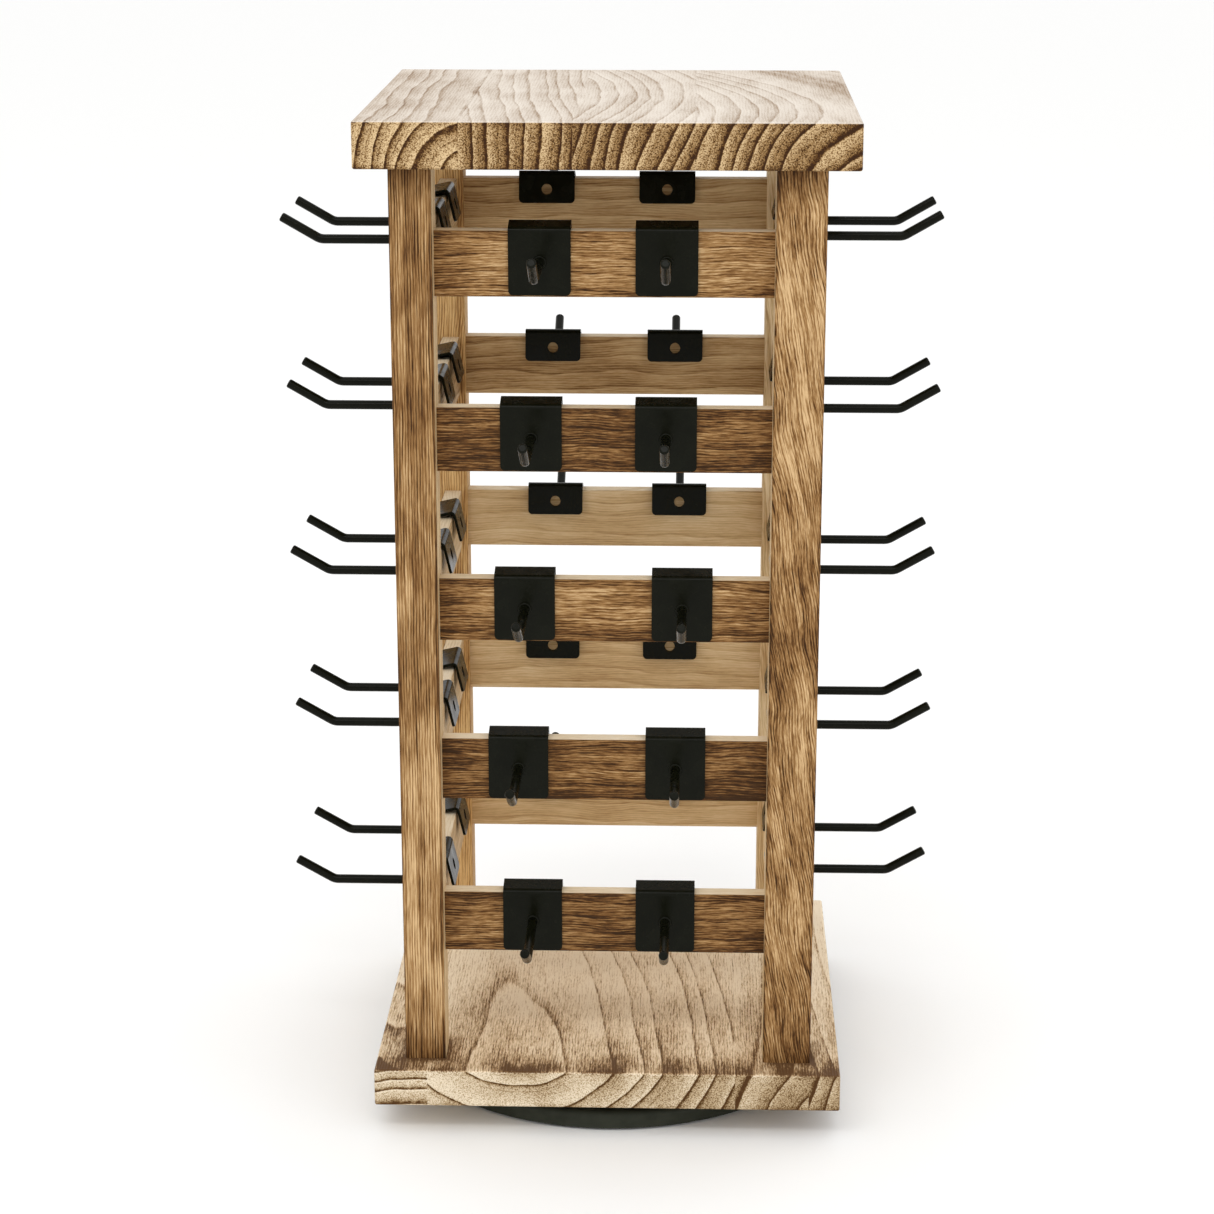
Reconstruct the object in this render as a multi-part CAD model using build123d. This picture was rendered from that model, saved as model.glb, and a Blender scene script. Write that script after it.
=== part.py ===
from build123d import *
import math
import os

# Rotating display rack: a square wooden tower on a ball-bearing turntable, with steel hooks
# clipped over five rails on each of its four sides.
# Millimetres. +Z is up, the front faces -Y, and the origin is on the floor under the pivot.

# --- driving dimensions -------------------------------------------------------------------------

# Boards and frame
board_side = 254.0
top_board_thickness = 24.0
bottom_board_thickness = 21.0
board_edge_radius = 1.2
frame_side = 222.0  # outside of the four posts
frame_height = 490.0  # clear height between the boards
left_post_side = 22.0
right_post_side = 26.0
post_edge_radius = 1.0

# Glue lines across each board, and the gap left between neighbouring staves
top_stave_joints = (-74.0, -17.0, 44.0)
bottom_stave_joints = (-98.0, 70.0, 110.0)
glue_line = 0.02

# Rails
rail_tops = (456.0, 364.0, 272.0, 183.0, 95.0)  # top edge of each row, above the bottom board
rail_height = 34.0
rail_thickness = 10.0
rail_recess = 8.5  # rail face behind the post face
rail_edge_radius = 0.7
tenon_length = 5.0
tenon_height = 24.0
tenon_thickness = 6.0

# Hooks: a bent sheet clip with a rod welded to it
clip_width = 32.0
clip_sheet = 1.5
clip_clearance = 0.15  # clip to rail, all round
clip_drop = 33.0  # outer plate, down from the top of the rail
clip_saddle_gap = 0.25  # extra room over the rail at the outer fold
clip_slope = 13.0  # degrees that the saddle climbs towards the inside
clip_tab_length = 18.0
clip_bend_radius = 2.0
clip_corner_radius = 2.5
clip_hole_radius = 3.0
clip_hole_rise = 8.0  # hole centre above the tab's lower edge
rod_radius = 2.5
rod_drop = 16.0  # rod axis below the top of the rail
rod_straight = 52.0
rod_upturn = 24.0
rod_angle = 30.0
rod_bend_radius = 8.0
rod_tip_radius = 1.0
weld_radius = 0.9

# Where each pair of hooks sits along its rail: the left one and the right one, from the middle of
# the side, seen from outside
hook_places = {
    "front": ((-35, 30), (-40, 30), (-44, 39), (-48, 36), (-41, 31)),
    "right": ((-12, 42), (-25, 48), (-21, 44), (-25, 37), (-21, 46)),
    "back": ((-28, 41), (-33, 38), (-36, 37), (-31, 39), (-35, 42)),
    "left": ((-31, 31), (-38, 24), (-38, 30), (-35, 28), (-34, 45)),
}
side_turns = {"front": 0, "right": 90, "back": 180, "left": 270}

# Turntable
foot_lift = 1.5  # rim of the base disc above the floor
foot_radius = 8.0
foot_circle = 100.0
foot_count = 6
foot_first_angle = 30.0
foot_edge_radius = 1.0
disc_radius = 120.0
disc_height = 9.5
disc_sheet = 1.5
disc_corner_radius = 3.0
bearing_gap = 6.0  # top of the base disc to the underside of the bottom board
ball_radius = 1.6
ball_circle = 42.0
ball_count = 24
ball_clearance = 0.05
race_width = 8.0
race_height = 1.4
cage_thickness = 0.9
cage_half_width = 3.2
plate_radius = 75.0
plate_sheet = 1.5
pivot_radius = 4.0
pivot_clearance = 0.08
pivot_head_radius = 7.0
pivot_head_height = 1.5
pivot_upper_head_height = 1.8
pivot_head_gap = 0.2  # between the plate and the upper head
pivot_shoulder_radius = 6.0
pivot_shoulder_gap = 0.3  # between the shoulder and the plate
pivot_pocket_radius = 12.0
pivot_pocket_depth = 4.0

# Fasteners
plate_screw_circle = 62.0
plate_screw_count = 4
plate_screw_first_angle = 45.0
plate_screw_length = 14.0
plate_screw_radius = 1.75
plate_screw_head_radius = 3.5
plate_screw_head_height = 1.6
plate_screw_proud = 0.1  # head below the underside of the plate
post_screw_length = 50.0
post_screw_radius = 2.25
post_screw_head_radius = 4.5
post_screw_head_height = 3.0
post_screw_recess = 0.5  # head above the underside of the bottom board
screw_tip_radius = 0.3
dowel_radius = 4.0
dowel_length = 36.0
dowel_in_board = 14.0

# --- levels worked out from them ----------------------------------------------------------------

disc_top = foot_lift + disc_height
board_floor = disc_top + bearing_gap  # underside of the bottom board
deck = board_floor + bottom_board_thickness  # top face of the bottom board
ceiling = deck + frame_height  # underside of the top board
ball_level = disc_top + bearing_gap / 2 - plate_sheet / 2
half_frame = frame_side / 2
rail_face = half_frame - rail_recess  # rail's outer face, from the middle of the rack

past = 1.0  # how far a cutting shape runs past the surface that it cuts

os.makedirs("parts", exist_ok=True)


def save(name, *solids):
    """Write one sub-part, which may be several solids."""
    export_step(Compound(children=list(solids), label=name), f"parts/{name}.step")


def block(low, high):
    """A box between two corners."""
    size = [b - a for a, b in zip(low, high)]
    middle = [(a + b) / 2 for a, b in zip(low, high)]
    return Pos(*middle) * Box(*size)


def cylinder(radius, low, high, x=0.0, y=0.0):
    """An upright cylinder between two heights."""
    return Pos(x, y, (low + high) / 2) * Cylinder(radius, high - low)


def on_circle(radius, count, start=0.0):
    """Points evenly spaced round the pivot."""
    turns = [math.radians(start + 360 * i / count) for i in range(count)]
    return [(radius * math.cos(t), radius * math.sin(t)) for t in turns]


def post_side(x_sign):
    return left_post_side if x_sign < 0 else right_post_side


def post_centre(x_sign, y_sign):
    offset = half_frame - post_side(x_sign) / 2
    return x_sign * offset, y_sign * offset


corners = [(x, y) for x in (-1, 1) for y in (-1, 1)]


# --- turntable ----------------------------------------------------------------------------------


def base_disc():
    """A shallow steel pan, upside down, with a rounded shoulder."""
    pan = cylinder(disc_radius, foot_lift, disc_top)
    pan = fillet(pan.edges().group_by(Axis.Z)[-1], disc_corner_radius)
    inside = cylinder(disc_radius - disc_sheet, foot_lift - past, disc_top - disc_sheet)
    inside = fillet(inside.edges().group_by(Axis.Z)[-1], disc_corner_radius - disc_sheet)
    return pan - inside - cylinder(pivot_radius, 0, disc_top + past)


def rubber_feet():
    top = disc_top - disc_sheet
    places = on_circle(foot_circle, foot_count, foot_first_angle)
    feet = [cylinder(foot_radius, 0, top, x, y) for x, y in places]
    return [fillet(foot.edges().group_by(Axis.Z)[0], foot_edge_radius) for foot in feet]


def groove():
    """The ring of space that the balls run in."""
    return Pos(0, 0, ball_level) * Torus(ball_circle, ball_radius + ball_clearance)


def race(low):
    """A flat ring, centred on the ball circle, before its groove is cut."""
    ring = cylinder(ball_circle + race_width / 2, low, low + race_height)
    return ring - cylinder(ball_circle - race_width / 2, low - past, low + race_height + past)


def ball_cage():
    """A flat ring with a round pocket for every ball."""
    low = ball_level - cage_thickness / 2
    high = low + cage_thickness
    ring = cylinder(ball_circle + cage_half_width, low, high)
    ring -= cylinder(ball_circle - cage_half_width, low - past, high + past)
    for x, y in on_circle(ball_circle, ball_count):
        ring -= cylinder(ball_radius + ball_clearance, low - past, high + past, x, y)
    return ring


def bearing_balls():
    return [Pos(x, y, ball_level) * Sphere(ball_radius) for x, y in on_circle(ball_circle, ball_count)]


def pivot_rivet():
    """Fixed to the base disc; its upper head keeps the turntable plate down."""
    under_disc = disc_top - disc_sheet
    head_low = board_floor + pivot_head_gap
    head_high = head_low + pivot_upper_head_height
    rivet = cylinder(pivot_radius, under_disc - pivot_head_height, head_high)
    rivet += cylinder(pivot_head_radius, under_disc - pivot_head_height, under_disc)
    rivet += cylinder(pivot_head_radius, head_low, head_high)
    rivet += cylinder(pivot_shoulder_radius, disc_top, board_floor - plate_sheet - pivot_shoulder_gap)
    return rivet


def wood_screw(x, y, low, head_radius, head_height, radius, length):
    """A countersunk wood screw pointing up, the flat of its head at the given height."""
    head = Pos(x, y, low + head_height / 2) * Cone(head_radius, radius, head_height)
    shank = cylinder(radius, low + head_height, low + length - radius, x, y)
    point = Pos(x, y, low + length - radius / 2) * Cone(radius, screw_tip_radius, radius)
    return head + shank + point


def plate_screws():
    low = board_floor - plate_sheet - plate_screw_proud
    sizes = (plate_screw_head_radius, plate_screw_head_height, plate_screw_radius, plate_screw_length)
    places = on_circle(plate_screw_circle, plate_screw_count, plate_screw_first_angle)
    return [wood_screw(x, y, low, *sizes) for x, y in places]


def turntable_plate():
    """Round steel plate under the board, with the upper race formed on its underside."""
    plate = cylinder(plate_radius, board_floor - plate_sheet, board_floor)
    plate += race(board_floor - plate_sheet - race_height)
    plate -= groove()
    plate -= cylinder(pivot_radius + pivot_clearance, 0, board_floor + past)
    for screw in plate_screws():
        plate -= screw
    return plate


# --- wooden tower -------------------------------------------------------------------------------


def staves(joints, low, high):
    """A square board glued up from full-length staves that run front to back."""
    half = board_side / 2
    board = block((-half, -half, low), (half, half, high))
    board = fillet(board.edges(), board_edge_radius)
    edge = half + past
    bounds = [-edge, *joints, edge]
    pieces = []
    for left, right in zip(bounds, bounds[1:]):
        near = (left + glue_line / 2, -edge, low - past)
        far = (right - glue_line / 2, edge, high + past)
        pieces.append(board & block(near, far))
    return pieces


def post_screws():
    """One long screw up through the bottom board into each post."""
    low = board_floor + post_screw_recess
    sizes = (post_screw_head_radius, post_screw_head_height, post_screw_radius, post_screw_length)
    return [wood_screw(*post_centre(x, y), low, *sizes) for x, y in corners]


def top_dowels():
    """One dowel from the top of each post into the top board."""
    high = ceiling + dowel_in_board
    return [cylinder(dowel_radius, high - dowel_length, high, *post_centre(x, y)) for x, y in corners]


def cut_all(pieces, cutters):
    """Take every cutter out of every piece."""
    for cutter in cutters:
        pieces = [piece - cutter for piece in pieces]
    return pieces


def bottom_board():
    """The lower board, with a pocket over the pivot and its screw holes."""
    low = board_floor - past
    pocket = cylinder(pivot_pocket_radius, low, board_floor + pivot_pocket_depth)
    well_top = board_floor + post_screw_recess
    wells = [cylinder(post_screw_head_radius, low, well_top, *post_centre(x, y)) for x, y in corners]
    pieces = staves(bottom_stave_joints, board_floor, deck)
    return cut_all(pieces, [pocket, *wells, *plate_screws(), *post_screws()])


def top_board():
    return cut_all(staves(top_stave_joints, ceiling, ceiling + top_board_thickness), top_dowels())


def rail_ends(side):
    """Where the rails of one side meet their posts, along the side as seen from outside."""
    left = {"front": -1, "right": 1, "back": 1, "left": -1}[side]
    right = {"front": 1, "right": 1, "back": -1, "left": -1}[side]
    return half_frame - post_side(left), half_frame - post_side(right)


def rails(side):
    """Five rails with stub tenons, built as the front ones and turned to their side."""
    left, right = rail_ends(side)
    pieces = []
    for top in rail_tops:
        high = deck + top
        low = high - rail_height
        inner = rail_face - rail_thickness
        rail = block((-left, -rail_face, low), (right, -inner, high))
        rail = fillet(rail.edges().filter_by(Axis.X), rail_edge_radius)
        middle = (low + high) / 2
        mid_depth = (rail_face + inner) / 2
        tenon_low = (-left - tenon_length, -mid_depth - tenon_thickness / 2, middle - tenon_height / 2)
        tenon_high = (right + tenon_length, -mid_depth + tenon_thickness / 2, middle + tenon_height / 2)
        pieces.append(Rot(0, 0, side_turns[side]) * (rail + block(tenon_low, tenon_high)))
    return pieces


def post(x_sign, y_sign, mortises):
    """One corner post, with a mortise for every rail tenon that reaches it."""
    x, y = post_centre(x_sign, y_sign)
    half = post_side(x_sign) / 2
    body = block((x - half, y - half, deck), (x + half, y + half, ceiling))
    body = fillet(body.edges().filter_by(Axis.Z), post_edge_radius)
    for cutter in mortises:
        body -= cutter
    return body


# --- hooks --------------------------------------------------------------------------------------


def hook():
    """One hook on the front, in the middle of a rail whose top edge is at height 0."""
    slope = math.radians(clip_slope)
    skin = clip_clearance + clip_sheet / 2  # rail surface to the middle of the sheet
    face_y = -rail_face - skin
    inner_y = -rail_face + rail_thickness + clip_clearance + clip_sheet / 2
    run = inner_y - face_y
    saddle_z = skin + clip_saddle_gap
    far_z = saddle_z + run * math.tan(slope)
    tab_y = inner_y + clip_tab_length * math.sin(slope)
    tab_z = far_z - clip_tab_length * math.cos(slope)
    route = [(face_y, -clip_drop), (face_y, saddle_z), (inner_y, far_z), (tab_y, tab_z)]
    path = FilletPolyline(*route, radius=clip_bend_radius)
    strip = Plane.YZ * trace(path, line_width=clip_sheet)
    clip = extrude(strip, amount=clip_width / 2, both=True)

    ends = clip.edges().filter_by(lambda edge: math.isclose(edge.length, clip_sheet, abs_tol=1e-4))
    clip = fillet(ends, clip_corner_radius)

    hole_y = tab_y - clip_hole_rise * math.sin(slope)
    hole_z = tab_z + clip_hole_rise * math.cos(slope)
    drill = Pos(0, hole_y, hole_z) * Rot(90 - clip_slope, 0, 0) * Cylinder(clip_hole_radius, 4 * clip_sheet)
    clip -= drill

    start = face_y - clip_sheet / 2
    turn = math.radians(rod_angle)
    bend = start - rod_straight
    end_y = bend - rod_upturn * math.cos(turn)
    end_z = -rod_drop + rod_upturn * math.sin(turn)
    rod_path = FilletPolyline(
        (0, start, -rod_drop), (0, bend, -rod_drop), (0, end_y, end_z), radius=rod_bend_radius
    )
    section = Plane(origin=(0, start, -rod_drop), z_dir=(0, -1, 0)) * Circle(rod_radius)
    rod = sweep(section, path=rod_path)
    tip = rod.faces().sort_by(Axis.Y)[0]
    rod = fillet(tip.edges(), rod_tip_radius)

    root = Pos(0, start, -rod_drop) * Rot(90, 0, 0)
    weld = root * Torus(rod_radius + weld_radius / 3, weld_radius)
    around_rod = root * Pos(0, 0, weld_radius) * Cylinder(rod_radius, 2 * weld_radius)
    clip += weld
    clip -= around_rod
    return clip, rod


def placed_hook(pieces, side, row, along):
    place = Rot(0, 0, side_turns[side]) * Pos(along, 0, deck + rail_tops[row])
    return [place * piece for piece in pieces]


# --- write every piece --------------------------------------------------------------------------

save("base_disc", base_disc())
save("rubber_feet", *rubber_feet())
save("lower_race", race(disc_top) - groove())
save("pivot_rivet", pivot_rivet())
save("ball_cage", ball_cage())
save("bearing_balls", *bearing_balls())
save("turntable_plate", turntable_plate())
save("plate_screws", *plate_screws())
save("bottom_board", *bottom_board())
save("top_board", *top_board())
save("post_screws", *post_screws())
save("top_dowels", *top_dowels())

all_rails = {side: rails(side) for side in side_turns}
for side, pieces in all_rails.items():
    save(f"{side}_rails", *pieces)

fixings = [*[rail for pieces in all_rails.values() for rail in pieces], *post_screws(), *top_dowels()]
post_names = {(-1, -1): "front_left", (1, -1): "front_right", (1, 1): "back_right", (-1, 1): "back_left"}
for (x_sign, y_sign), name in post_names.items():
    save(f"{name}_post", post(x_sign, y_sign, fixings))

hook_pieces = hook()
for side, rows in hook_places.items():
    for row, pair in enumerate(rows):
        for hand, along in zip(("left", "right"), pair):
            save(f"hook_{side}_{row + 1}_{hand}", *placed_hook(hook_pieces, side, row, along))
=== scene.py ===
"""Rotating display rack: materials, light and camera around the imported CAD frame."""
import math
from typing import NamedTuple

import bpy
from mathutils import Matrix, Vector


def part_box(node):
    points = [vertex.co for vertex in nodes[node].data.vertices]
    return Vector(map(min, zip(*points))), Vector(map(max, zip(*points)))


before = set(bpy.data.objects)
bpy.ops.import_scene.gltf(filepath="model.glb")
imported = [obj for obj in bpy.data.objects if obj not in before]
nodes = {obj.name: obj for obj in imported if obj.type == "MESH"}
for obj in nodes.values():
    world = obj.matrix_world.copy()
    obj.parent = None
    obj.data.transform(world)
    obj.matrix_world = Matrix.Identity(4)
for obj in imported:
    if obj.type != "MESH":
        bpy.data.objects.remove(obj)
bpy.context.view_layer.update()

MM = 0.001


def colour(red, green, blue):
    """A colour from its 0-255 display values, as the linear values that shaders take."""
    channels = [c / 255 for c in (red, green, blue)]
    return (*[c / 12.92 if c <= 0.04045 else ((c + 0.055) / 1.055) ** 2.4 for c in channels], 1.0)


def shade(tone, factor, lift=0.0):
    """A linear colour made darker or paler."""
    return (*[min(1.0, c * factor + lift) for c in tone[:3]], 1.0)


def box_in_mm(node):
    low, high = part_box(node)
    return [v / MM for v in low], [v / MM for v in high]


# --- shader building blocks ---------------------------------------------------------------------


class Graph:
    """A material's node tree, built with short calls. Lengths in it are in millimetres."""

    def __init__(self, name):
        self.material = bpy.data.materials.new(name)
        self.material.use_nodes = True
        self.tree = self.material.node_tree
        self.shader = self.tree.nodes["Principled BSDF"]
        coordinates = self.node("ShaderNodeTexCoord")
        self.place = self.scaled(coordinates.outputs["Object"], 1 / MM)
        self.x, self.y, self.z = self.split(self.place)
        self.normal_x, self.normal_y, self.normal_z = self.split(coordinates.outputs["Normal"])

    def node(self, kind, **settings):
        made = self.tree.nodes.new(kind)
        for key, value in settings.items():
            setattr(made, key, value)
        return made

    def put(self, socket, value):
        if isinstance(value, bpy.types.NodeSocket):
            self.tree.links.new(value, socket)
        else:
            socket.default_value = value

    def math(self, operation, *values):
        made = self.node("ShaderNodeMath", operation=operation)
        for socket, value in zip(made.inputs, values):
            self.put(socket, value)
        return made.outputs[0]

    def scaled(self, place, factor):
        made = self.node("ShaderNodeVectorMath", operation="SCALE")
        self.put(made.inputs[0], place)
        self.put(made.inputs["Scale"], factor)
        return made.outputs[0]

    def split(self, socket):
        made = self.node("ShaderNodeSeparateXYZ")
        self.put(made.inputs[0], socket)
        return made.outputs

    def join(self, x, y, z):
        made = self.node("ShaderNodeCombineXYZ")
        for socket, value in zip(made.inputs, (x, y, z)):
            self.put(socket, value)
        return made.outputs[0]

    def noise(self, place, detail=2.0, roughness=0.5):
        """Noise at scale 1: the place decides its size."""
        made = self.node("ShaderNodeTexNoise")
        self.put(made.inputs["Vector"], place)
        self.put(made.inputs["Scale"], 1.0)
        self.put(made.inputs["Detail"], detail)
        self.put(made.inputs["Roughness"], roughness)
        return made.outputs["Fac"]

    def marks(self, parts, sizes, shifts=(0.0, 0.0, 0.0), detail=2.0, roughness=0.5):
        """Noise with marks of the given size along each part. Another shift gives other marks."""
        place = []
        for part, size, shift in zip(parts, sizes, shifts):
            part = self.math("DIVIDE", part, size)
            place.append(self.math("ADD", part, shift) if shift else part)
        return self.noise(self.join(*place), detail, roughness)

    def specks(self, size, detail):
        """Noise with marks of one size in all directions."""
        return self.noise(self.scaled(self.place, 1 / size), detail)

    def ramp(self, value, stops, interpolation="LINEAR"):
        """A colour read off a ramp of (position, colour) stops."""
        made = self.node("ShaderNodeValToRGB")
        ramp = made.color_ramp
        ramp.interpolation = interpolation
        while len(ramp.elements) < len(stops):
            ramp.elements.new(1.0)
        for element, (position, tone) in zip(ramp.elements, stops):
            element.position = position
            element.color = tone
        self.put(made.inputs[0], value)
        return made.outputs[0]

    def curve(self, value, stops, interpolation="LINEAR"):
        """A number read off a ramp of (position, height) stops."""
        greys = [(position, (height, height, height, 1.0)) for position, height in stops]
        return self.ramp(value, greys, interpolation)

    def steps(self, value, heights):
        """A number that is constant over each of the equal parts of 0 to 1."""
        stops = [(i / len(heights), height) for i, height in enumerate(heights)]
        return self.curve(value, stops, "CONSTANT")

    def tone(self, darkness, tones):
        """The colour of wood from bare, at darkness 0, to burnt, at 1."""
        return self.ramp(darkness, [(place, colour(*tone)) for place, tone in zip(TONE_PLACES, tones)])

    def spread(self, value, low, high, to_low=0.0, to_high=1.0):
        """The value moved from one range to another, and clamped."""
        made = self.node("ShaderNodeMapRange")
        settings = {"Value": value, "From Min": low, "From Max": high, "To Min": to_low, "To Max": to_high}
        for key, number in settings.items():
            self.put(made.inputs[key], number)
        return made.outputs[0]

    def mix(self, factor, first, second):
        """The first colour at factor 0, the second at 1."""
        made = self.node("ShaderNodeMix", data_type="RGBA")
        sockets = {socket.identifier: socket for socket in (*made.inputs, *made.outputs)}
        for key, value in (("Factor_Float", factor), ("A_Color", first), ("B_Color", second)):
            self.put(sockets[key], value)
        return sockets["Result_Color"]

    def product(self, *values):
        result = values[0]
        for value in values[1:]:
            result = self.math("MULTIPLY", result, value)
        return result

    def added(self, total, *parts):
        """The total, with each mask times its weight added."""
        for mask, weight in parts:
            total = self.math("MULTIPLY_ADD", mask, weight, total)
        return total

    def near(self, distance, reach):
        """1 where the distance is 0, falling to 0 at the reach."""
        return self.spread(distance, 0.0, reach, 1.0, 0.0)

    def inside(self, axis, low, high):
        """Distance from the nearer of two parallel faces."""
        return self.math("MINIMUM", self.math("SUBTRACT", axis, low), self.math("SUBTRACT", high, axis))

    def ragged(self, distance, blotches, depth):
        """A distance whose contours wander in and out by up to half the depth."""
        return self.added(distance, (self.math("SUBTRACT", blotches, 0.5), depth))

    def by_stave(self, joints, values):
        """A number that is constant over each stave and jumps at the glue lines."""
        result = values[0]
        for joint, before, after in zip(joints, values, values[1:]):
            step = self.math("MULTIPLY", self.math("GREATER_THAN", self.x, joint), after - before)
            result = self.math("ADD", result, step)
        return result

    def finish(self, base, roughness, height, relief, **constants):
        """Fill in the shader. The relief is the height's depth in millimetres."""
        self.put(self.shader.inputs["Base Color"], base)
        self.put(self.shader.inputs["Roughness"], roughness)
        for key, value in constants.items():
            self.put(self.shader.inputs[key.replace("_", " ")], value)
        bump = self.node("ShaderNodeBump")
        self.put(bump.inputs["Strength"], 1.0)
        self.put(bump.inputs["Distance"], relief * MM)
        self.put(bump.inputs["Height"], height)
        self.put(self.shader.inputs["Normal"], bump.outputs[0])
        return self.material


# --- wood ---------------------------------------------------------------------------------------

# Colours from bare to burnt wood, at these places on the scale of darkness
TONE_PLACES = (0.0, 0.4, 0.75, 1.0)
TOP_FACE = ((230, 221, 209), (209, 197, 183), (168, 148, 127), (128, 103, 79))
TOP_EDGE = ((214, 186, 143), (151, 118, 74), (86, 54, 17), (54, 30, 8))
BOTTOM_FACE = ((244, 226, 198), (216, 190, 154), (156, 124, 86), (96, 68, 42))
BOTTOM_EDGE = ((232, 217, 192), (184, 160, 124), (112, 83, 46), (76, 48, 20))
TORCHED = ((212, 178, 132), (158, 120, 74), (104, 68, 32), (54, 33, 12))
PLAIN = ((236, 214, 176), (208, 179, 134), (168, 134, 90), (112, 80, 46))
AMBER = ((220, 184, 128), (188, 146, 92), (146, 105, 60), (102, 70, 36))
# Painted light: paler tones for the tops of the rails, as if lit from above
PAINTED_LIT_TOP = ((246, 235, 214), (229, 210, 178), (190, 164, 126), (134, 104, 70))
DOWEL = ((232, 204, 160), (208, 174, 124), (172, 134, 90), (140, 104, 66))

# Darkness of untreated wood on average, and what each mask of Timber is on average
MEAN_DARKNESS = 0.4
MEAN_MASKS = {"fine": 0.5, "line": 0.15, "pale": 0.3, "comb": 0.42, "pores": 0.45}

# Darkness over the first 10 mm after the end of a ring, with a faint second line 4.4 mm on
LINE_SPAN = 10.0
LINE_PROFILE = (
    (0.0, 1.0), (0.07, 0.82), (0.14, 0.36), (0.26, 0.12), (0.4, 0.04), (0.44, 0.28), (0.49, 0.03), (0.8, 0.0)
)
LINE_LEAD = 0.5

# The pale band, over a whole ring
PALE_PROFILE = ((0.0, 0.0), (0.55, 0.0), (0.82, 0.8), (0.92, 1.0), (1.0, 0.0))


class Timber:
    """Solid wood cut from a log: growth rings round a pith, with fibres and pores along the grain.

    across, depth and along are the graph's values for the three directions. The finest streaks are
    as wide as fibre and longer by stretch. The brushed grooves waver by wander. Each ring ends in a
    dark line, with a pale band before it. A negative spacing turns the rings inside out. Each kind of
    streak adds its own number to the seed, so that no two kinds lie on each other."""

    # The rings crowd and spread by two spacings over this much radius
    drift_radius, drift_rings = 24.0, 2.0
    blotch = 22.0, 22.0, 55.0
    line_patch_width = 2.8
    groove_slant = 0.83

    def __init__(self, g, across, depth, along, radius, spacing, fibre=0.62, stretch=20.0, wander=3.0,
                 seed=0.0):
        self.g = g
        self.directions = across, depth, along
        uneven = g.noise(g.join(g.math("DIVIDE", radius, self.drift_radius), seed, 0.0))
        turns = g.added(g.math("DIVIDE", radius, spacing), (uneven, self.drift_rings))
        phase = g.math("FRACT", turns)
        length = fibre * stretch
        self.pale = g.curve(phase, PALE_PROFILE)
        self.pores = self.streaks(fibre, length, seed, 0.5, 0.58, detail=2.0)
        self.fine = self.streaks(fibre * 0.9, length * 0.35, seed + 3.3, 0.36, 0.64, detail=3.5)
        self.broad = g.marks(self.directions, self.blotch, shifts=(0.0, 0.0, seed * 5))
        self.comb = self.combed(fibre * 2.4, length * 1.6, wander, seed)
        self.line = self.ring_line(phase, g.math("ABSOLUTE", spacing), stretch, seed)

    def ring_line(self, phase, ring, stretch, seed):
        """The dark line in millimetres, however far the rings are apart, stronger and weaker by turns."""
        g = self.g
        after = g.math("MULTIPLY", phase, ring)
        before = g.math("SUBTRACT", ring, after)
        trail = g.curve(g.math("DIVIDE", after, LINE_SPAN), LINE_PROFILE)
        line = g.math("MAXIMUM", trail, g.near(before, reach=LINE_LEAD))
        width = self.line_patch_width
        weakness = self.streaks(width, width * stretch, seed + 5.1, 0.35, 0.65)
        return g.product(line, g.spread(weakness, 0.0, 1.0, 1.0, 0.55))

    def streaks(self, width, length, seed, low, high, detail=1.0):
        """Streaks along the grain. Noise below low is none, and above high a full streak."""
        g = self.g
        noise = g.marks(self.directions, (width, width, length), shifts=(seed * 7, 0.0, 0.0), detail=detail,
                        roughness=0.65)
        return g.spread(noise, low, high)

    def combed(self, spacing, length, wander, seed):
        """Brushed-out grooves: lines along the grain. The more they wander, the more they break up."""
        g = self.g
        across, depth, _ = self.directions
        sideways = g.math("DIVIDE", g.added(across, (depth, self.groove_slant)), spacing)
        turns = g.added(sideways, (self.broad, wander))
        wave = g.math("ABSOLUTE", g.math("MULTIPLY_ADD", g.math("FRACT", turns), 2.0, -1.0))
        broken = self.streaks(spacing * 0.5, length, seed + 1.7, 0.34, 0.66)
        breaks = 0.4 + wander / 5
        return g.spread(g.added(wave, (broken, breaks)), 0.4 + breaks / 2, 0.9 + breaks / 2)

    def darkness(self, patch, **weights):
        """How dark the wood is before any scorching, from the weights of its masks and of its patches."""
        g = self.g
        level = MEAN_DARKNESS - sum(weight * MEAN_MASKS[mask] for mask, weight in weights.items())
        total = g.added(level, *[(getattr(self, mask), weight) for mask, weight in weights.items()])
        return g.added(total, (g.spread(self.broad, 0.36, 0.64, -0.5, 0.5), patch))

    def finish(self, base, relief):
        """Brushed relief: the dark, soft streaks are worn lowest."""
        g = self.g
        worn = g.added(g.product(self.line, 0.2), (self.comb, 0.5), (self.fine, 0.3))
        rough = g.spread(self.comb, 0.0, 1.0, 0.55, 0.76)
        return g.finish(base, rough, g.math("SUBTRACT", 1.0, worn), relief, Specular_IOR_Level=0.14)


def ring_radius(g, across, depth, along, wobble, seed):
    """Distance from the pith, which runs along the grain, bent a little by slow noise."""
    slow = g.marks((across, depth, along), sizes=(42.0, 42.0, 90.0), shifts=(seed, 0.0, 0.0), detail=2.5,
                   roughness=0.55)
    flat = g.math("SQRT", g.math("ADD", g.product(across, across), g.product(depth, depth)))
    return g.added(flat, (g.math("SUBTRACT", slow, 0.5), wobble * 2))


def swayed(g, across, depth, along, amount):
    """The cross direction, bent slowly along the grain so that the fibres run in long waves."""
    slow = g.marks((across, depth, along), sizes=(30.0, 30.0, 45.0), detail=1.5)
    return g.added(across, (g.math("SUBTRACT", slow, 0.5), amount))


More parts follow.
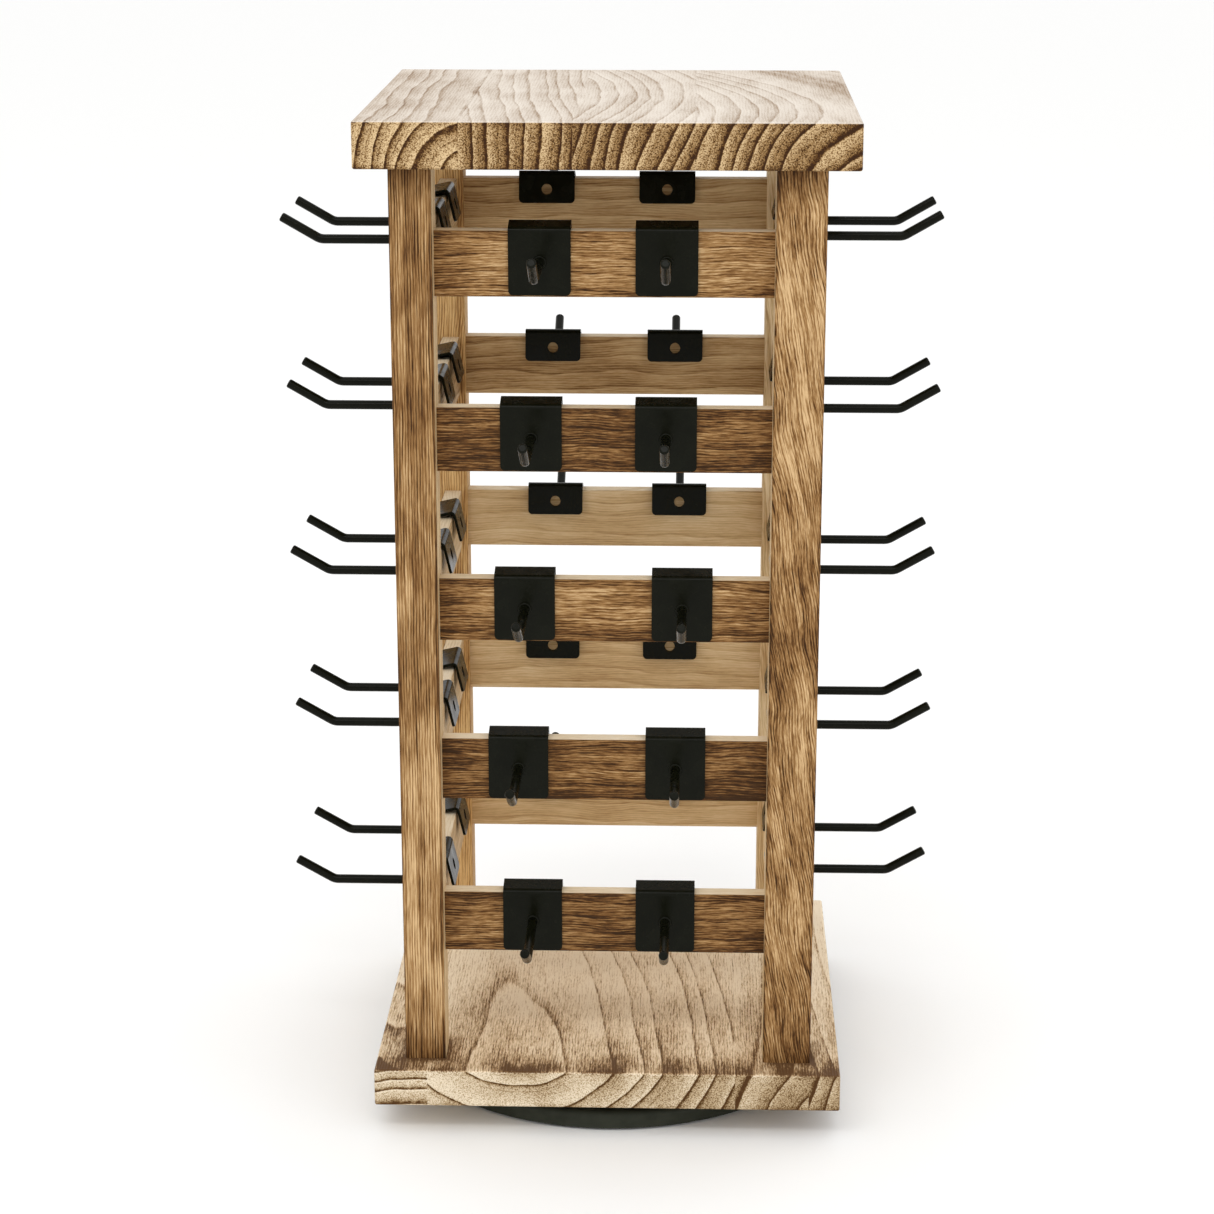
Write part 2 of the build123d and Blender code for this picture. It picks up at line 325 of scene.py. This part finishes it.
class Stave(NamedTuple):
    """How a stave was cut from its log. The pith is placed on the front edge, from the board's middle.

    Along the board the bow bends the rings sideways, least at bow_y, and the pith climbs by rise,
    which closes the rings into arches on the top face."""

    pith_x: float
    pith_z: float
    spacing: float
    bow: float = 0.0
    bow_y: float = 0.0
    rise: float = 0.0


class Board:
    """Staves glued side by side, with the grain running front to back."""

    rim_width = 3.0
    arris_width = 1.3

    def __init__(self, node, joints, staves, wobble, seed):
        g = self.g = Graph(node + "_wood")
        self.low, self.high = low, high = box_in_mm(node)
        stave = Stave(*[g.by_stave(joints, values) for values in zip(*staves)])
        from_bow = g.math("SUBTRACT", g.y, stave.bow_y)
        front_from_bow = g.math("SUBTRACT", low[1], stave.bow_y)
        bend = g.math("SUBTRACT", g.product(from_bow, from_bow), g.product(front_from_bow, front_from_bow))
        off_x = g.math("SUBTRACT", g.math("SUBTRACT", g.x, g.product(bend, stave.bow)), stave.pith_x)
        climb = g.added(stave.pith_z, (g.math("SUBTRACT", g.y, low[1]), stave.rise))
        off_z = g.math("SUBTRACT", g.math("SUBTRACT", g.z, (low[2] + high[2]) / 2), climb)
        radius = ring_radius(g, off_x, off_z, g.y, wobble, seed)
        self.wood = Timber(g, g.x, g.z, g.y, radius, stave.spacing, fibre=0.68, stretch=14.0, seed=seed)
        from_rim = g.inside(g.z, low[2], high[2])
        self.burnt_rim = g.product(g.near(from_rim, self.rim_width), g.spread(self.wood.broad, 0.38, 0.6))
        from_arris = g.math("MAXIMUM", g.math("SUBTRACT", high[2], g.z), g.inside(g.y, low[1], high[1]))
        unbroken = g.spread(self.wood.pores, 0.2, 0.8, 1.0, 0.45)
        self.worn_arris = g.product(g.near(from_arris, self.arris_width), unbroken)

    def finish(self, face, edge):
        """The face's colours on top and the edge's everywhere else."""
        on_top = self.g.spread(self.g.normal_z, 0.4, 0.7)
        return self.wood.finish(self.g.mix(on_top, edge, face), relief=0.05)


def top_board_wood():
    """Pale on top and burnt on its edges, with a different toast for each stave."""
    joints = (-74, -17, 44)
    staves = (
        Stave(pith_x=-66, pith_z=-17, spacing=-9.0, bow_y=259),
        Stave(pith_x=400, pith_z=0, spacing=8.5, bow=0.00016, bow_y=259),
        Stave(pith_x=130, pith_z=-45, spacing=8.0, bow=-0.0011, bow_y=-40, rise=-0.1),
        Stave(pith_x=140, pith_z=-32, spacing=9.0, bow=-0.0014, bow_y=-80),
    )
    board = Board("top_board", joints, staves, wobble=4.6, seed=3.1)
    g, wood = board.g, board.wood
    face = wood.darkness(fine=0.26, line=0.38, pale=-0.1, comb=0.1, patch=0.21)
    smoked = g.by_stave(joints, (0.14, 0.03, 0.0, 0.02))
    face = g.added(face, (smoked, 1.0), (board.worn_arris, -0.3))
    edge = wood.darkness(fine=0.36, line=1.0, pale=-0.2, pores=0.5, patch=0.168)
    toast = g.by_stave(joints, (0.0, 0.2, 0.18, 0.19))
    edge = g.added(edge, (toast, 1.0), (board.burnt_rim, 0.3), (board.worn_arris, -0.35))
    return board.finish(g.tone(face, TOP_FACE), g.tone(edge, TOP_EDGE))


def bottom_board_wood():
    """Darker towards the front and the right, with soot round the feet of the posts."""
    staves = (
        Stave(pith_x=-98, pith_z=-150, spacing=6.2, bow=0.0002, bow_y=259, rise=0.1),
        Stave(pith_x=-51, pith_z=54.7, spacing=13.5, bow=-0.0005, bow_y=-127, rise=0.06),
        Stave(pith_x=166, pith_z=-44, spacing=17.0, bow=-0.0004, bow_y=20),
        Stave(pith_x=200, pith_z=-30, spacing=12.0, bow=0.0002, bow_y=200),
    )
    board = Board("bottom_board", (-98, 70, 110), staves, wobble=3.0, seed=5.2)
    g, wood, low, high = board.g, board.wood, board.low, board.high
    edge = wood.darkness(fine=0.34, line=1.0, pale=-0.16, pores=0.36, patch=0.14)
    toast = g.spread(g.x, -95.0, 95.0, -0.02, 0.26)
    edge = g.added(edge, (toast, 1.0), (board.burnt_rim, 0.25), (board.worn_arris, -0.3))
    face = wood.darkness(fine=0.38, line=0.56, pale=-0.22, comb=0.26, pores=0.32, patch=0.238)
    toward_front = g.spread(g.y, high[1] * 0.5, low[1], -0.34, 0.23)
    from_front = g.math("SUBTRACT", g.y, low[1])
    strip = g.product(g.near(from_front, reach=26.0), g.spread(wood.broad, 0.3, 0.6))
    post_low, post_high = box_in_mm("front_left_post")
    post_centre = (abs(post_low[0]) + abs(post_high[0])) / 2
    foot_half = 10.0
    from_middle = [g.math("ABSOLUTE", axis) for axis in (g.x, g.y)]
    from_centre = [g.math("ABSOLUTE", g.math("SUBTRACT", axis, post_centre)) for axis in from_middle]
    from_foot = g.math("SUBTRACT", g.math("MAXIMUM", *from_centre), foot_half)
    soot = g.near(g.ragged(from_foot, wood.broad, depth=40.0), reach=8.0)
    burnt_foot = g.near(from_foot, reach=5.0)
    face = g.added(face, (toward_front, 1.0), (strip, 0.75), (soot, 0.34), (burnt_foot, 0.4),
                   (board.worn_arris, -0.4))
    return board.finish(g.tone(face, BOTTOM_FACE), g.tone(edge, BOTTOM_EDGE))


# Which way each post's torched faces look, and how it was cut and scorched. The pith is in the rack's
# x and y; lean tilts the grain; sway bends it; light_at is the height of its palest stretch; bare_grain
# strengthens the streaks of its plain faces.
POSTS = {
    "front_left_post": dict(
        faces=(-1, -1), bare_tones=PLAIN, pith=(-400, -330), spacing=9.0, wobble=4.0, sway=2.0, lean=0.0,
        comb=0.34, wander=0.7, stretch=48.0, light_at=150.0, scorch=0.19, seed=1.0),
    "front_right_post": dict(
        faces=(1, -1), bare_tones=PLAIN, pith=(60, -250), spacing=7.0, wobble=9.0, sway=9.0, lean=0.14,
        comb=0.36, wander=3.0, stretch=22.0, light_at=455.0, scorch=0.13, seed=2.3),
    "back_left_post": dict(
        faces=(-1, 1), bare_tones=AMBER, pith=(-300, 420), spacing=8.0, wobble=5.0, sway=6.0, lean=-0.03,
        comb=0.28, wander=1.5, stretch=34.0, light_at=330.0, scorch=0.19, seed=3.7, bare_grain=1.9),
    "back_right_post": dict(
        faces=(1, 1), bare_tones=PLAIN, pith=(380, 60), spacing=8.0, wobble=6.0, sway=8.0, lean=0.05,
        comb=0.3, wander=2.0, stretch=32.0, light_at=240.0, scorch=0.16, seed=5.1),
}


def post_wood(node, faces, bare_tones, pith, spacing, wobble, sway, lean, comb, wander, stretch, light_at,
              scorch, seed, bare_grain=1.0):
    """Torched and brushed outside: strong fine streaks, darkest at both ends and along the arrises.

    The two faces that look into the rack are plain."""
    g = Graph(node + "_wood")
    low, high = box_in_mm(node)
    across = g.added(swayed(g, g.x, g.y, g.z, sway), (g.z, lean))
    off_x = g.math("SUBTRACT", across, pith[0])
    off_y = g.math("SUBTRACT", g.y, pith[1])
    radius = ring_radius(g, off_x, off_y, g.z, wobble, seed)
    wood = Timber(g, across, g.y, g.z, radius, spacing, stretch=stretch, wander=wander, seed=seed)
    torched = wood.darkness(fine=0.32, line=0.2, pale=-0.1, comb=comb, pores=0.3, patch=0.35)
    lighter = g.near(g.math("ABSOLUTE", g.math("SUBTRACT", g.z, light_at)), reach=110.0)
    from_end = g.inside(g.z, low[2], high[2])
    smoke = g.near(g.ragged(from_end, wood.broad, depth=70.0), reach=45.0)
    burnt_end = g.near(from_end, reach=14.0)
    from_arris = g.math("MAXIMUM", g.inside(g.x, low[0], high[0]), g.inside(g.y, low[1], high[1]))
    arris = g.product(g.near(from_arris, reach=2.2), g.spread(wood.broad, 0.3, 0.55))
    torched = g.added(torched, (scorch, 1.0), (lighter, -0.2), (smoke, 0.12), (burnt_end, 0.16),
                      (arris, 0.34))
    bare = wood.darkness(fine=0.2 * bare_grain, line=0.3, pale=-0.1, comb=0.24 * bare_grain,
                         pores=0.14 * bare_grain, patch=0.21)
    normals = g.product(g.normal_x, faces[0]), g.product(g.normal_y, faces[1])
    outward = g.math("MAXIMUM", *normals)
    base = g.mix(g.spread(outward, 0.2, 0.55), g.tone(bare, bare_tones), g.tone(torched, TORCHED))
    return wood.finish(base, relief=0.09)


RAIL_HEIGHT = 34.0
TENON_LENGTH = 5.0

# From the bottom rail to the top one: the scorching outside, and the painted shade on the inner face,
# heaviest on the upper rails under the top board
ROW_SCORCH = (0.32, 0.39, 0.22, 0.35, 0.06)
ROW_INNER_SHADE = (0.05, 0.0, 0.0, 0.28, 0.22)


def rail_wood(side, seed):
    """Torched outer face; the inner face and underside are plain saw-cut wood, with painted shade on the
    inner faces of the upper rails, and the top is painted paler, as if lit from above.
    """
    node = side + "_rails"
    g = Graph(node + "_wood")
    low, high = box_in_mm(node)
    rows = len(ROW_SCORCH)
    axis = 0 if side in ("front", "back") else 1
    along, depth = (g.x, g.y) if axis == 0 else (g.y, g.x)
    outward = 1 if side in ("right", "back") else -1
    normal = g.math("MULTIPLY", g.normal_y if axis == 0 else g.normal_x, outward)
    pitch = (high[2] - low[2] - RAIL_HEIGHT) / (rows - 1)
    level = g.math("SUBTRACT", g.z, low[2])
    row = g.math("ROUND", g.math("DIVIDE", g.math("SUBTRACT", level, RAIL_HEIGHT / 2), pitch))

    # Each row is cut from another place in the log, well away from the pith
    row_along, row_depth, pith_below = 173.0, 29.0, 420.0
    shifted = g.added(along, (row, row_along))
    across = swayed(g, g.z, depth, shifted, amount=6.0)
    off_z = g.math("ADD", across, pith_below)
    off_depth = g.added(depth, (row, row_depth))
    radius = ring_radius(g, off_z, off_depth, shifted, wobble=8.0, seed=seed)
    wood = Timber(g, across, off_depth, shifted, radius, spacing=9.0, stretch=24.0, seed=seed)

    # The middle of the row's own part of 0 to 1
    row_part = g.math("DIVIDE", g.math("ADD", row, 0.5), float(rows))
    from_edge = g.inside(g.added(level, (row, -pitch)), 0.0, RAIL_HEIGHT)
    smoke = g.near(g.ragged(from_edge, wood.broad, depth=30.0), reach=7.0)
    from_end = g.inside(along, low[axis] + TENON_LENGTH, high[axis] - TENON_LENGTH)
    ends = g.product(g.near(from_end, reach=26.0), g.spread(wood.broad, 0.3, 0.6))
    torched = wood.darkness(fine=0.34, line=0.24, pale=-0.1, comb=0.26, pores=0.28, patch=0.315)
    torched = g.added(torched, (g.steps(row_part, ROW_SCORCH), 1.0), (smoke, 0.22), (ends, 0.1))
    bare = wood.darkness(fine=0.14, line=0.2, pale=-0.1, comb=0.16, patch=0.21)
    # Painted shade: the inner faces of the upper rails are darkened where the top board shades them
    inner_shade = g.product(g.steps(row_part, ROW_INNER_SHADE), g.spread(normal, -0.4, -0.7))
    singed = g.product(g.spread(normal, 0.05, 0.5), g.spread(normal, 0.98, 0.7))
    bare = g.added(bare, (inner_shade, 1.0), (singed, 0.8))
    # Painted light: the rail tops take the paler tones, as if lit from above
    sawn_and_lit_top = g.mix(g.spread(g.normal_z, 0.5, 0.9), g.tone(bare, PLAIN), g.tone(bare, PAINTED_LIT_TOP))
    base = g.mix(g.spread(normal, 0.4, 0.7), sawn_and_lit_top, g.tone(torched, TORCHED))
    return wood.finish(base, relief=0.08)


def dowel_wood():
    """Turned hardwood, cut well away from the pith, so that its rings are nearly flat."""
    g = Graph("dowel_wood")
    from_pith = g.math("ADD", g.x, 300.0)
    wood = Timber(g, g.x, g.y, g.z, from_pith, spacing=4.0, seed=2.0)
    darkness = wood.darkness(fine=0.2, line=0.3, pale=-0.1, comb=0.2, patch=0.14)
    return wood.finish(g.tone(darkness, DOWEL), relief=0.04)


# --- metal and rubber ---------------------------------------------------------------------------


def powder_coat(name, tone, rough, grain):
    """Baked powder paint: fine orange peel and a faint mottling in the gloss."""
    g = Graph(name)
    peel = g.specks(grain, detail=2.0)
    mottle = g.specks(9.0, detail=3.0)
    dust = g.spread(g.specks(0.5, detail=1.0), 0.66, 0.74)
    pale = shade(tone, 1.7, lift=0.002)
    base = g.mix(g.product(g.spread(mottle, 0.35, 0.7), 0.5), tone, pale)
    base = g.mix(g.product(dust, 0.06), base, colour(86, 86, 74))
    gloss = g.spread(mottle, 0.3, 0.7, rough - 0.06, rough + 0.08)
    return g.finish(base, gloss, peel, relief=0.012, Specular_IOR_Level=0.09)


def bare_metal(name, tone, rough, brushed):
    """Plated or stamped metal with fine drawing marks of the given length."""
    g = Graph(name)
    marks = g.marks((g.x, g.y, g.z), sizes=(brushed, 0.4, 0.4), detail=3.0)
    stains = g.specks(14.0, detail=3.0)
    base = g.mix(g.spread(stains, 0.4, 0.7), tone, shade(tone, 0.72))
    gloss = g.spread(marks, 0.3, 0.7, rough - 0.08, rough + 0.12)
    return g.finish(base, gloss, marks, relief=0.02, Metallic=1.0)


def rubber(name):
    """Dull black with a greyish bloom."""
    g = Graph(name)
    bloom = g.specks(3.0, detail=4.0)
    base = g.mix(g.spread(bloom, 0.4, 0.7), colour(34, 34, 35), colour(52, 52, 51))
    return g.finish(base, 0.82, bloom, relief=0.04)


def dress(material, *names):
    """Give these nodes the material."""
    for name in names:
        mesh = nodes[name].data
        mesh.materials.clear()
        mesh.materials.append(material)


def dress_everything():
    dress(top_board_wood(), "top_board")
    dress(bottom_board_wood(), "bottom_board")
    for name, settings in POSTS.items():
        dress(post_wood(name, **settings), name)
    for index, side in enumerate(("front", "right", "back", "left")):
        dress(rail_wood(side, 1.7 + 2.9 * index), side + "_rails")
    dress(dowel_wood(), "top_dowels")
    hooks = [name for name in nodes if name.startswith("hook_")]
    dress(powder_coat("hook_black", colour(11, 12, 4), rough=0.24, grain=0.9), *hooks)
    dress(powder_coat("disc_black", colour(44, 46, 38), rough=0.45, grain=0.6), "base_disc")
    plated = bare_metal("plated_steel", colour(188, 190, 192), rough=0.34, brushed=12.0)
    dress(plated, "lower_race", "turntable_plate", "pivot_rivet")
    zinc = bare_metal("screw_steel", colour(192, 176, 128), rough=0.32, brushed=2.0)
    dress(zinc, "plate_screws", "post_screws")
    dress(bare_metal("ball_steel", colour(214, 216, 220), rough=0.16, brushed=1.0), "bearing_balls")
    dress(bare_metal("cage_brass", colour(206, 170, 96), rough=0.3, brushed=6.0), "ball_cage")
    dress(rubber("foot_rubber"), "rubber_feet")


# --- studio -------------------------------------------------------------------------------------


def studio_floor():
    """A wide, plain, pale sheet that the rack stands on."""
    bpy.ops.mesh.primitive_circle_add(vertices=96, radius=12.0, fill_type="NGON")
    floor = bpy.context.object
    floor.name = "studio_floor"
    g = Graph("studio_paper")
    tooth = g.specks(2.0, detail=3.0)
    floor.data.materials.append(g.finish(colour(253, 253, 252), 0.85, tooth, relief=0.03))


def area_light(name, place, size, power):
    """A rectangular lamp aimed at the middle of the rack."""
    lamp = bpy.data.lights.new(name, "AREA")
    lamp.shape = "RECTANGLE"
    lamp.size, lamp.size_y = size
    lamp.energy = power
    holder = bpy.data.objects.new(name, lamp)
    holder.location = place
    aim = Vector((0.0, 0.0, 0.3)) - Vector(place)
    holder.rotation_euler = aim.to_track_quat("-Z", "Y").to_euler()
    bpy.context.scene.collection.objects.link(holder)


def studio_light():
    """White surroundings and three soft lamps."""
    world = bpy.data.worlds.new("studio_white")
    bpy.context.scene.world = world
    world.use_nodes = True
    background = world.node_tree.nodes["Background"]
    background.inputs["Color"].default_value = (1.0, 1.0, 1.0, 1.0)
    background.inputs["Strength"].default_value = 1.0
    area_light("strip_light", place=(-0.4, -1.7, 2.3), size=(2.4, 0.3), power=15.0)
    area_light("fill_light", place=(2.2, -2.0, 1.2), size=(1.6, 2.0), power=5.0)
    area_light("top_light", place=(0.2, 0.6, 2.8), size=(2.0, 2.0), power=6.0)
    view = bpy.context.scene.view_settings
    view.view_transform = "Standard"
    view.look = "None"


def camera():
    """Slightly right of centre and above the rack, looking a little down."""
    lens = bpy.data.cameras.new("camera")
    lens.sensor_width = 36.0
    lens.lens = 85.55
    holder = bpy.data.objects.new("camera", lens)
    holder.location = (0.045, -1.562, 0.7215)
    yaw, pitch = -0.0312, 0.2841
    holder.rotation_euler = (math.pi / 2 - pitch, 0.0, -yaw)
    bpy.context.scene.collection.objects.link(holder)
    bpy.context.scene.camera = holder


dress_everything()
studio_floor()
studio_light()
camera()
